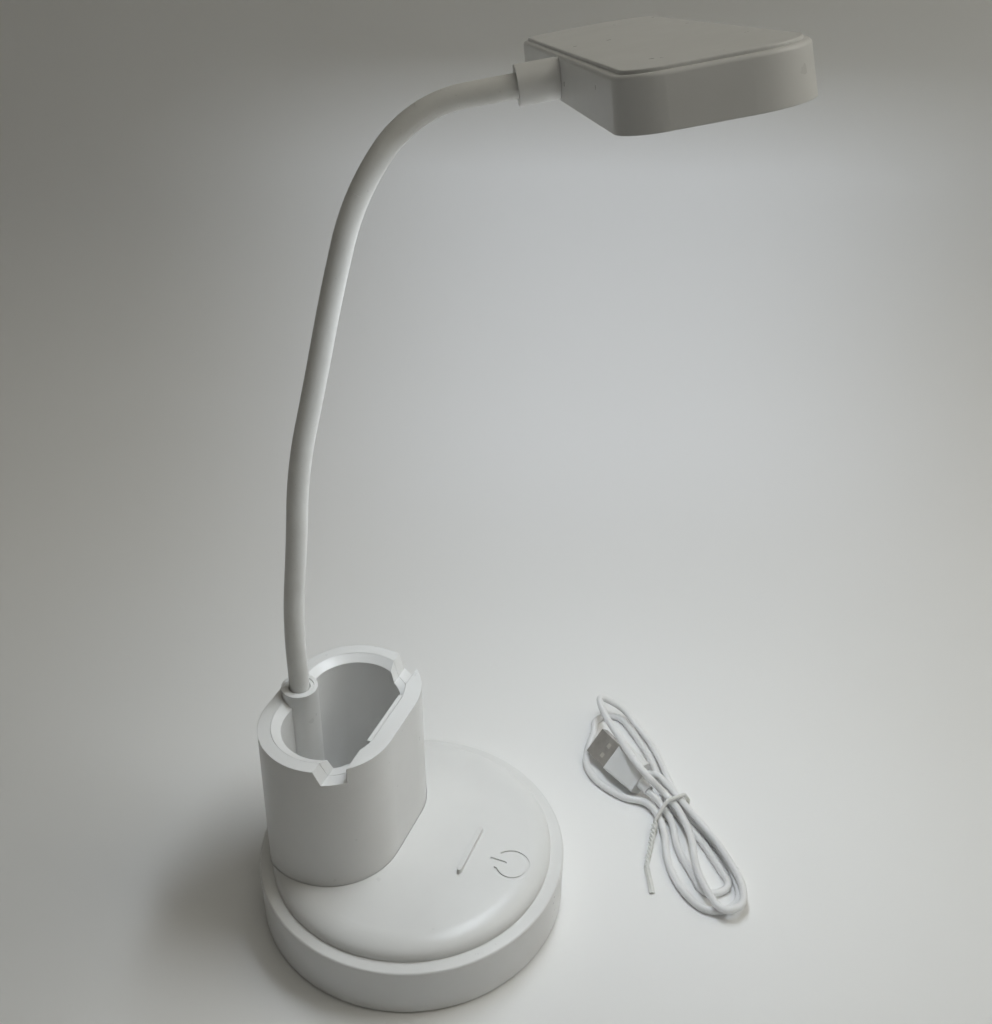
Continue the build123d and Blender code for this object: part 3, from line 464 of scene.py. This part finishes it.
# Lead: the corners of its route, in millimetres along and across the hank, and its height
hank_origin = Vector((73.5, -82.7, 0)) * mm
hank_along = Vector((0.763796, 0.645458, 0))
hank_across = Vector((-0.645458, 0.763796, 0))
cord_radius = 1.5 * mm
route = (
    (7.1, 5.4, 6.12),
    (4.3, 4.5, 5.95),
    (-0.0, 2.0, 2.80),
    (-9.2, 1.8, 2.80),
    (-20.8, 5.9, 1.50),
    (-33.3, 5.9, 1.50),
    (-46.0, 6.5, 1.50),
    (-46.0, -6.1, 1.50),
    (-33.3, -5.6, 1.50),
    (-20.1, -5.6, 1.50),
    (-6.9, -1.7, 2.46),
    (9.1, -2.1, 2.74),
    (26.8, -6.2, 1.50),
    (43.9, -5.9, 1.50),
    (59.9, -4.6, 1.50),
    (60.0, 7.7, 1.50),
    (52.2, 10.7, 1.50),
    (46.6, 15.4, 1.50),
    (41.3, 18.9, 1.50),
    (36.1, 21.7, 1.50),
    (30.7, 22.8, 1.50),
    (24.2, 22.3, 1.50),
    (17.5, 19.0, 1.50),
    (10.1, 14.4, 1.50),
    (5.0, 5.9, 2.56),
    (-9.6, 5.9, 2.59),
    (-27.4, 13.4, 1.50),
    (-43.0, 13.4, 1.50),
    (-54.0, 8.5, 1.50),
    (-54.2, -5.7, 1.50),
    (-38.3, -10.2, 1.50),
    (-22.3, -10.2, 1.50),
    (-7.7, -5.7, 2.67),
    (10.1, -6.6, 2.67),
    (30.1, -10.3, 1.50),
    (44.0, -10.0, 1.50),
    (50.4, -7.4, 4.33),
    (57.3, -5.9, 6.10),
    (61.0, -0.9, 9.07),
    (61.0, 5.6, 14.17),
    (51.8, 8.4, 15.24),
    (41.3, 8.8, 15.24),
    (29.9, 8.9, 16.21),
    (20.8, 8.8, 16.04),
    (13.9, 8.1, 15.77),
    (7.3, 5.0, 12.42),
    (4.4, -0.4, 6.05),
    (-3.2, -1.8, 6.05),
    (-9.7, -2.0, 5.55),
    (-20.4, -0.9, 5.05),
    (-34.2, 4.8, 4.98),
    (-46.9, 6.2, 4.98),
    (-57.4, 5.1, 4.95),
    (-57.2, -3.4, 4.95),
    (-52.1, -6.9, 5.06),
    (-45.2, -9.1, 5.05),
    (-37.1, -9.4, 4.95),
    (-24.6, -9.4, 4.95),
    (-8.3, -6.0, 6.15),
    (3.0, -4.6, 6.08),
    (9.0, -3.6, 6.09),
    (15.0, -2.4, 6.09),
    (19.3, 0.3, 2.70),
    (22.3, 1.0, 2.70),
)


def on_hank(along, across, height):
    """A place in the hank's own axes, given in millimetres."""
    return hank_origin + (hank_along * along + hank_across * across + Vector((0, 0, height))) * mm


def nurbs_curve(name, points, bevel=0.0, cyclic=False):
    """A smooth curve object of one spline, with these points as its control points."""
    curve = bpy.data.curves.new(name, "CURVE")
    curve.dimensions = "3D"
    curve.resolution_u = 16
    spline = curve.splines.new("NURBS")
    spline.points.add(len(points) - 1)
    for control, point in zip(spline.points, points):
        control.co = (*point, 1.0)
    spline.order_u = 3
    spline.use_cyclic_u = cyclic
    spline.use_endpoint_u = not cyclic
    curve.bevel_depth = bevel
    curve.bevel_resolution = 6
    made = bpy.data.objects.new(name, curve)
    bpy.context.scene.collection.objects.link(made)
    return made


lead = nurbs_curve("lead", [on_hank(*corner) for corner in route], cord_radius)
lead.data.use_fill_caps = True
lead.data.materials.append(finishes["cord_white"])
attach(lead, "base")
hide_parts("lead_hank")


def hank_direction(vector):
    """A direction in the hank's own axes, in the model's."""
    return hank_along * vector[0] + hank_across * vector[1] + Vector((0, 0, vector[2]))


def stand(place, up, side):
    """A matrix that takes a piece made upright on the origin to a place, its Z along up and its X near side."""
    up = up.normalized()
    side = (side - up * side.dot(up)).normalized()
    other = up.cross(side)
    turn = Matrix((side, other, up)).transposed().to_4x4()
    return Matrix.Translation(place) @ turn


# Twist tie: the strand round the waist, its ends wound on each other, and the flat end that sticks out.
# The ring's corners are along, across and above the hank, in millimetres.
tie_radius = 0.8 * mm
tie_corners = (
    (-2.0, -8.6, 0.9),
    (-6.6, 8.6, 0.9),
    (-6.6, 8.6, 4.2),
    (-2.6, 1.8, 8.9),
    (-1.6, -6.6, 8.9),
    (-2.0, -8.6, 5.2),
)
tie_ease = 1.3
ring_points = []
for index, corner in enumerate(tie_corners):
    corner = Vector(corner)
    before = Vector(tie_corners[index - 1])
    after = Vector(tie_corners[(index + 1) % len(tie_corners)])
    ring_points.append(on_hank(*(corner + (before - corner).normalized() * tie_ease)))
    ring_points.append(on_hank(*corner))
    ring_points.append(on_hank(*(corner + (after - corner).normalized() * tie_ease)))
tie_ring = nurbs_curve("tie_ring", ring_points, tie_radius, cyclic=True)
tie_ring.data.materials.append(finishes["tie_white"])

twist_start = on_hank(-7.4, 9.2, 3.0)
twist_end = on_hank(-23.9, 20.3, 1.1)
twist = Shape(
    "tie_twist",
    {
        "Turns": 4.6,
        "Start radius": 0.75 * mm,
        "End radius": 0.42 * mm,
        "Length": (twist_end - twist_start).length,
        "Strand radius": 0.6 * mm,
        "Taper": 0.5,
    },
)
spiral = twist.node(
    "GeometryNodeCurveSpiral",
    None,
    {
        "Resolution": 26,
        "Rotations": twist.size("Turns"),
        "Start Radius": twist.size("Start radius"),
        "End Radius": twist.size("End radius"),
        "Height": twist.size("Length"),
    },
)
opposite = twist.node("GeometryNodeTransform", None, {"Geometry": spiral, "Rotation": (0, 0, math.pi)})
strands = twist.node("GeometryNodeJoinGeometry", None, {0: [spiral, opposite]})
along_twist = twist.node("GeometryNodeSplineParameter").out("Factor")
thinning = 1.0 - along_twist * twist.size("Taper")
thinned = twist.node("GeometryNodeSetCurveRadius", None, {0: strands, "Radius": thinning})
strand_ring = twist.node(
    "GeometryNodeCurvePrimitiveCircle", None, {"Resolution": 12, "Radius": twist.size("Strand radius")}
)
wound = twist.node("GeometryNodeCurveToMesh", None, {0: thinned, "Profile Curve": strand_ring, "Fill Caps": True})
tie_twist = twist.piece(wound, "tie_white", stand(twist_start, twist_end - twist_start, Vector((0, 0, 1))))

tail_end = on_hank(-37.6, 24.6, 0.75)
tail_points = [
    on_hank(-23.4, 19.9, 1.25),
    on_hank(-25.2, 21.2, 1.1),
    on_hank(-29.5, 22.4, 0.95),
    on_hank(-33.6, 23.4, 0.85),
    tail_end,
]
tail_half_width = 1.1 * mm
tail_half_thick = 0.22 * mm
tail_core = 0.4 * mm
outline = (
    (-1.0, -0.6), (-0.4, -1.0), (-0.2, -tail_core / tail_half_thick), (0.2, -tail_core / tail_half_thick),
    (0.4, -1.0), (1.0, -0.6), (1.0, 0.6), (0.4, 1.0), (0.2, tail_core / tail_half_thick),
    (-0.2, tail_core / tail_half_thick), (-0.4, 1.0), (-1.0, 0.6),
)
bm = bmesh.new()
sections = []
for index, point in enumerate(tail_points):
    before = tail_points[max(index - 1, 0)]
    after = tail_points[min(index + 1, len(tail_points) - 1)]
    line = (after - before).normalized()
    wide = Vector((0, 0, 1)).cross(line).normalized()
    thick = line.cross(wide)
    lean = math.radians(40.0 * (1 - index / (len(tail_points) - 1)))
    wide, thick = wide * math.cos(lean) + thick * math.sin(lean), thick * math.cos(lean) - wide * math.sin(lean)
    lift = abs(math.sin(lean)) * tail_half_width * 0.4
    middle = point + Vector((0, 0, lift))
    sections.append(
        [bm.verts.new(middle + wide * (x * tail_half_width) + thick * (y * tail_half_thick)) for x, y in outline]
    )
for section, following in zip(sections, sections[1:]):
    for step in range(len(outline)):
        after = (step + 1) % len(outline)
        bm.faces.new((section[step], section[after], following[after], following[step]))
bm.faces.new(sections[0][::-1])
bm.faces.new(sections[-1])
bmesh.ops.recalc_face_normals(bm, faces=bm.faces)
tie_tail = mesh_piece("tie_tail", bm, "tie_white", smooth=False)
for piece in (tie_ring, tie_twist, tie_tail):
    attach(piece, "base")
    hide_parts("twist_tie")

# Leaves that show in the two windows of the plug's shell
plug_line = hank_direction((0.960147, 0.273505, 0.057564))
plug_up = hank_direction((-0.245451, 0.7266, 0.641722))
plug_across = hank_direction((-0.133688, 0.630276, -0.764774))
moulding_front = on_hank(28.2612, 11.3748, 7.38929)
leaf_half = 1.15 * mm
leaf_thick = 0.25 * mm
window_back = 5.0 * mm
window_pitch = 5.0 * mm
leaf_height = 1.72 * mm
leaf_tilt = 0.12 * mm
bm = bmesh.new()
for side in (-1, 1):
    middle = moulding_front + plug_line * window_back + plug_across * (side * window_pitch / 2) + plug_up * leaf_height
    corners = []
    for height in (-leaf_thick / 2, leaf_thick / 2):
        for along, across in ((-1, -1), (1, -1), (1, 1), (-1, 1)):
            tilt = plug_up * (height + along * leaf_tilt)
            flat = plug_line * (along * leaf_half) + plug_across * (across * leaf_half)
            corners.append(bm.verts.new(middle + flat + tilt))
    for face in ((3, 2, 1, 0), (4, 5, 6, 7), (0, 1, 5, 4), (1, 2, 6, 5), (2, 3, 7, 6), (3, 0, 4, 7)):
        bm.faces.new([corners[index] for index in face])
bmesh.ops.recalc_face_normals(bm, faces=bm.faces)
window_leaves = mesh_piece("window_leaves", bm, "leaf_metal", smooth=False)
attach(window_leaves, "base")
for face in tie_twist.data.polygons:
    face.use_smooth = len(face.vertices) == 4
on_hank(*route[0])

# Camera, where the photograph was taken from
camera_data = bpy.data.cameras.new("camera")
camera_data.sensor_width = 36.0
camera_data.lens = 36.0 * 1150 / 1024
camera = bpy.data.objects.new("camera", camera_data)
bpy.context.scene.collection.objects.link(camera)
camera_right = Vector((0.36263, -0.93183, 0.01383))
camera_down = Vector((-0.48900, -0.20289, -0.84836))
camera_forward = Vector((0.79333, 0.30088, -0.52924))
camera_place = Vector((-274.73, -135.95, 361.42)) * mm
camera.matrix_world = Matrix(
    (
        (camera_right.x, -camera_down.x, -camera_forward.x, camera_place.x),
        (camera_right.y, -camera_down.y, -camera_forward.y, camera_place.y),
        (camera_right.z, -camera_down.z, -camera_forward.z, camera_place.z),
        (0, 0, 0, 1),
    )
)
bpy.context.scene.camera = camera

# Studio: a paper sweep that runs under the lamp and rises behind it
view_heading = Vector((0.935, 0.3546, 0)).normalized()
view_side = Vector((-view_heading.y, view_heading.x, 0))
fold_distance = 0.535
fold_radius = 0.16
wall_height = 1.5
floor_back = -2.0
stage_half_width = 2.5
profile = [(floor_back, 0.0), (fold_distance, 0.0)]
for step in range(1, 25):
    turn = math.radians(86.0) * step / 24
    profile.append((fold_distance + fold_radius * math.sin(turn), fold_radius * (1 - math.cos(turn))))
last_along, last_height = profile[-1]
profile.append((last_along + 0.07 * wall_height, last_height + wall_height))
bm = bmesh.new()
rows = []
foot_of_camera = Vector((camera_place.x, camera_place.y, 0))
for along, height in profile:
    middle = foot_of_camera + view_heading * along + Vector((0, 0, height))
    rows.append([bm.verts.new(middle + view_side * side * stage_half_width) for side in (1, -1)])
for row, following in zip(rows, rows[1:]):
    bm.faces.new((row[0], row[1], following[1], following[0]))

paper = Finish("paper")
grain = paper.noise(paper.place(), 700.0, 3.0)
clouds = paper.noise(paper.place(), 4.0, 3.0)
floor_tone = paper.between(clouds, (0.90, 0.90, 0.89, 1.0), (0.93, 0.93, 0.93, 1.0))
height = paper.node("ShaderNodeSeparateXYZ", None, {0: paper.place()}).out(2)
# Painted shade: the paper is painted greyer from 4 cm up to 26 cm up, so the rising wall is darker than the floor
# under the lamp.
tone = paper.between(paper.banded(height, 0.04, 0.26), floor_tone, (0.76, 0.76, 0.745, 1.0))
paper_shader = paper.node("ShaderNodeBsdfDiffuse", None, {"Color": tone, "Normal": paper.bump(grain, 0.02 * mm)})
clear = paper.node("ShaderNodeBsdfTransparent")
seen_from_behind = paper.node("ShaderNodeNewGeometry").out("Backfacing")
ray = paper.node("ShaderNodeLightPath")
by_camera = ray.out("Is Camera Ray")
seen_directly = by_camera + ray.out("Is Glossy Ray") + ray.out("Is Transmission Ray")
# Painted light: a pale blue glow is painted on the paper as emission where the lamp's strip would light the backdrop
# under the head. It is centred 8 cm to the right of the camera along the camera's right-hand axis and fades out 34 cm
# to either side. It begins 40 to 62 cm out from the camera's foot and ends 17 to 23.5 cm up. It shows only to camera,
# glossy and transmission rays, so it lights nothing.
painted_glow_right = 0.08
painted_glow_reach = 0.34
painted_glow_share = 0.44
painted_glow_start = camera_right.dot(camera_place) + painted_glow_right
aside = paper.node(
    "ShaderNodeVectorMath", {"operation": "DOT_PRODUCT"}, {0: paper.place(), 1: tuple(camera_right)}
).out("Value")
off_painted_glow = paper.node("ShaderNodeMath", {"operation": "ABSOLUTE"}, {0: aside - painted_glow_start})
painted_glow_fall = paper.node(
    "ShaderNodeMapRange",
    {"interpolation_type": "SMOOTHERSTEP"},
    {"Value": off_painted_glow, "From Min": 0.0, "From Max": painted_glow_reach, "To Min": painted_glow_share, "To Max": 0.0},
)
# Colour and brightness of the painted glow.
bright = paper.node("ShaderNodeEmission", None, {"Color": (0.70, 0.73, 0.76, 1.0), "Strength": 1.0})
distance = paper.node(
    "ShaderNodeVectorMath", {"operation": "DOT_PRODUCT"}, {0: paper.place(), 1: tuple(view_heading)}
).out("Value")
reached = paper.banded(distance - foot_of_camera.dot(view_heading), 0.40, 0.62)
low = 1.0 - paper.banded(height, 0.17, 0.235)
# Where the painted glow shows, and how strongly.
glow = painted_glow_fall * reached * low * seen_directly
paper_with_painted_glow = paper.node("ShaderNodeMixShader", None, {0: glow, 1: paper_shader, 2: bright})
paper.node(
    "ShaderNodeOutputMaterial",
    None,
    {"Surface": paper.node("ShaderNodeMixShader", None, {0: seen_from_behind * by_camera, 1: paper_with_painted_glow, 2: clear})},
)
sweep_mesh = bpy.data.meshes.new("paper_sweep")
bm.to_mesh(sweep_mesh)
bm.free()
sweep_mesh.materials.append(paper.material)
sweep_mesh.shade_smooth()
paper_sweep = bpy.data.objects.new("paper_sweep", sweep_mesh)
bpy.context.scene.collection.objects.link(paper_sweep)

# Light: the lamp's own strip, two warm soft lights above and to the side, and a dim room that looks pale


def area_light(name, place, aim, across, size_x, size_y, power, colour):
    data = bpy.data.lights.new(name, "AREA")
    data.shape = "RECTANGLE"
    data.size = size_x
    data.size_y = size_y
    data.energy = power
    data.color = colour
    light = bpy.data.objects.new(name, data)
    back = -aim.normalized()
    side = (across - back * across.dot(back)).normalized()
    up = back.cross(side)
    light.matrix_world = Matrix(
        (
            (side.x, up.x, back.x, place.x),
            (side.y, up.y, back.y, place.y),
            (side.z, up.z, back.z, place.z),
            (0, 0, 0, 1),
        )
    )
    bpy.context.scene.collection.objects.link(light)
    light.visible_camera = False
    return light


strip_drop = 13.2 * mm
strip_middle = head_origin + head_forward * led_middle - head_up * strip_drop
strip_light = area_light(
    "strip_light", strip_middle, -head_up, head_across, 0.17, 0.036, 0.32, (0.86, 0.93, 1.0)
)
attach(strip_light, "head")
room_place = Vector((-0.3, -0.5, 1.6))
area_light("room_light", room_place, -room_place, Vector((1, 0, 0)), 1.6, 1.6, 4.7, (1.0, 0.97, 0.86))
side_place = Vector((0.465, -0.816, 0.9))
area_light("side_light", side_place, -side_place, view_heading, 0.9, 0.9, 3.85, (1.0, 0.975, 0.88))

world = bpy.data.worlds.new("room")
bpy.context.scene.world = world
world.use_nodes = True
room = Nodes()
room.tree = world.node_tree
room.tree.nodes.clear()
room_tone = (0.86, 0.85, 0.82, 1.0)
dim_room = room.node("ShaderNodeBackground", None, {"Color": room_tone, "Strength": 0.015})
pale_room = room.node("ShaderNodeBackground", None, {"Color": room_tone, "Strength": 0.26})
room_ray = room.node("ShaderNodeLightPath")
shown = room_ray.out("Is Camera Ray")
for other in ("Is Glossy Ray", "Is Transmission Ray"):
    shown = room.node("ShaderNodeMath", {"operation": "MAXIMUM"}, {0: shown, 1: room_ray.out(other)})
room_look = room.node("ShaderNodeMixShader", None, {0: shown, 1: dim_room, 2: pale_room})
room.node("ShaderNodeOutputWorld", None, {"Surface": room_look})

bpy.context.scene.view_settings.view_transform = "Standard"
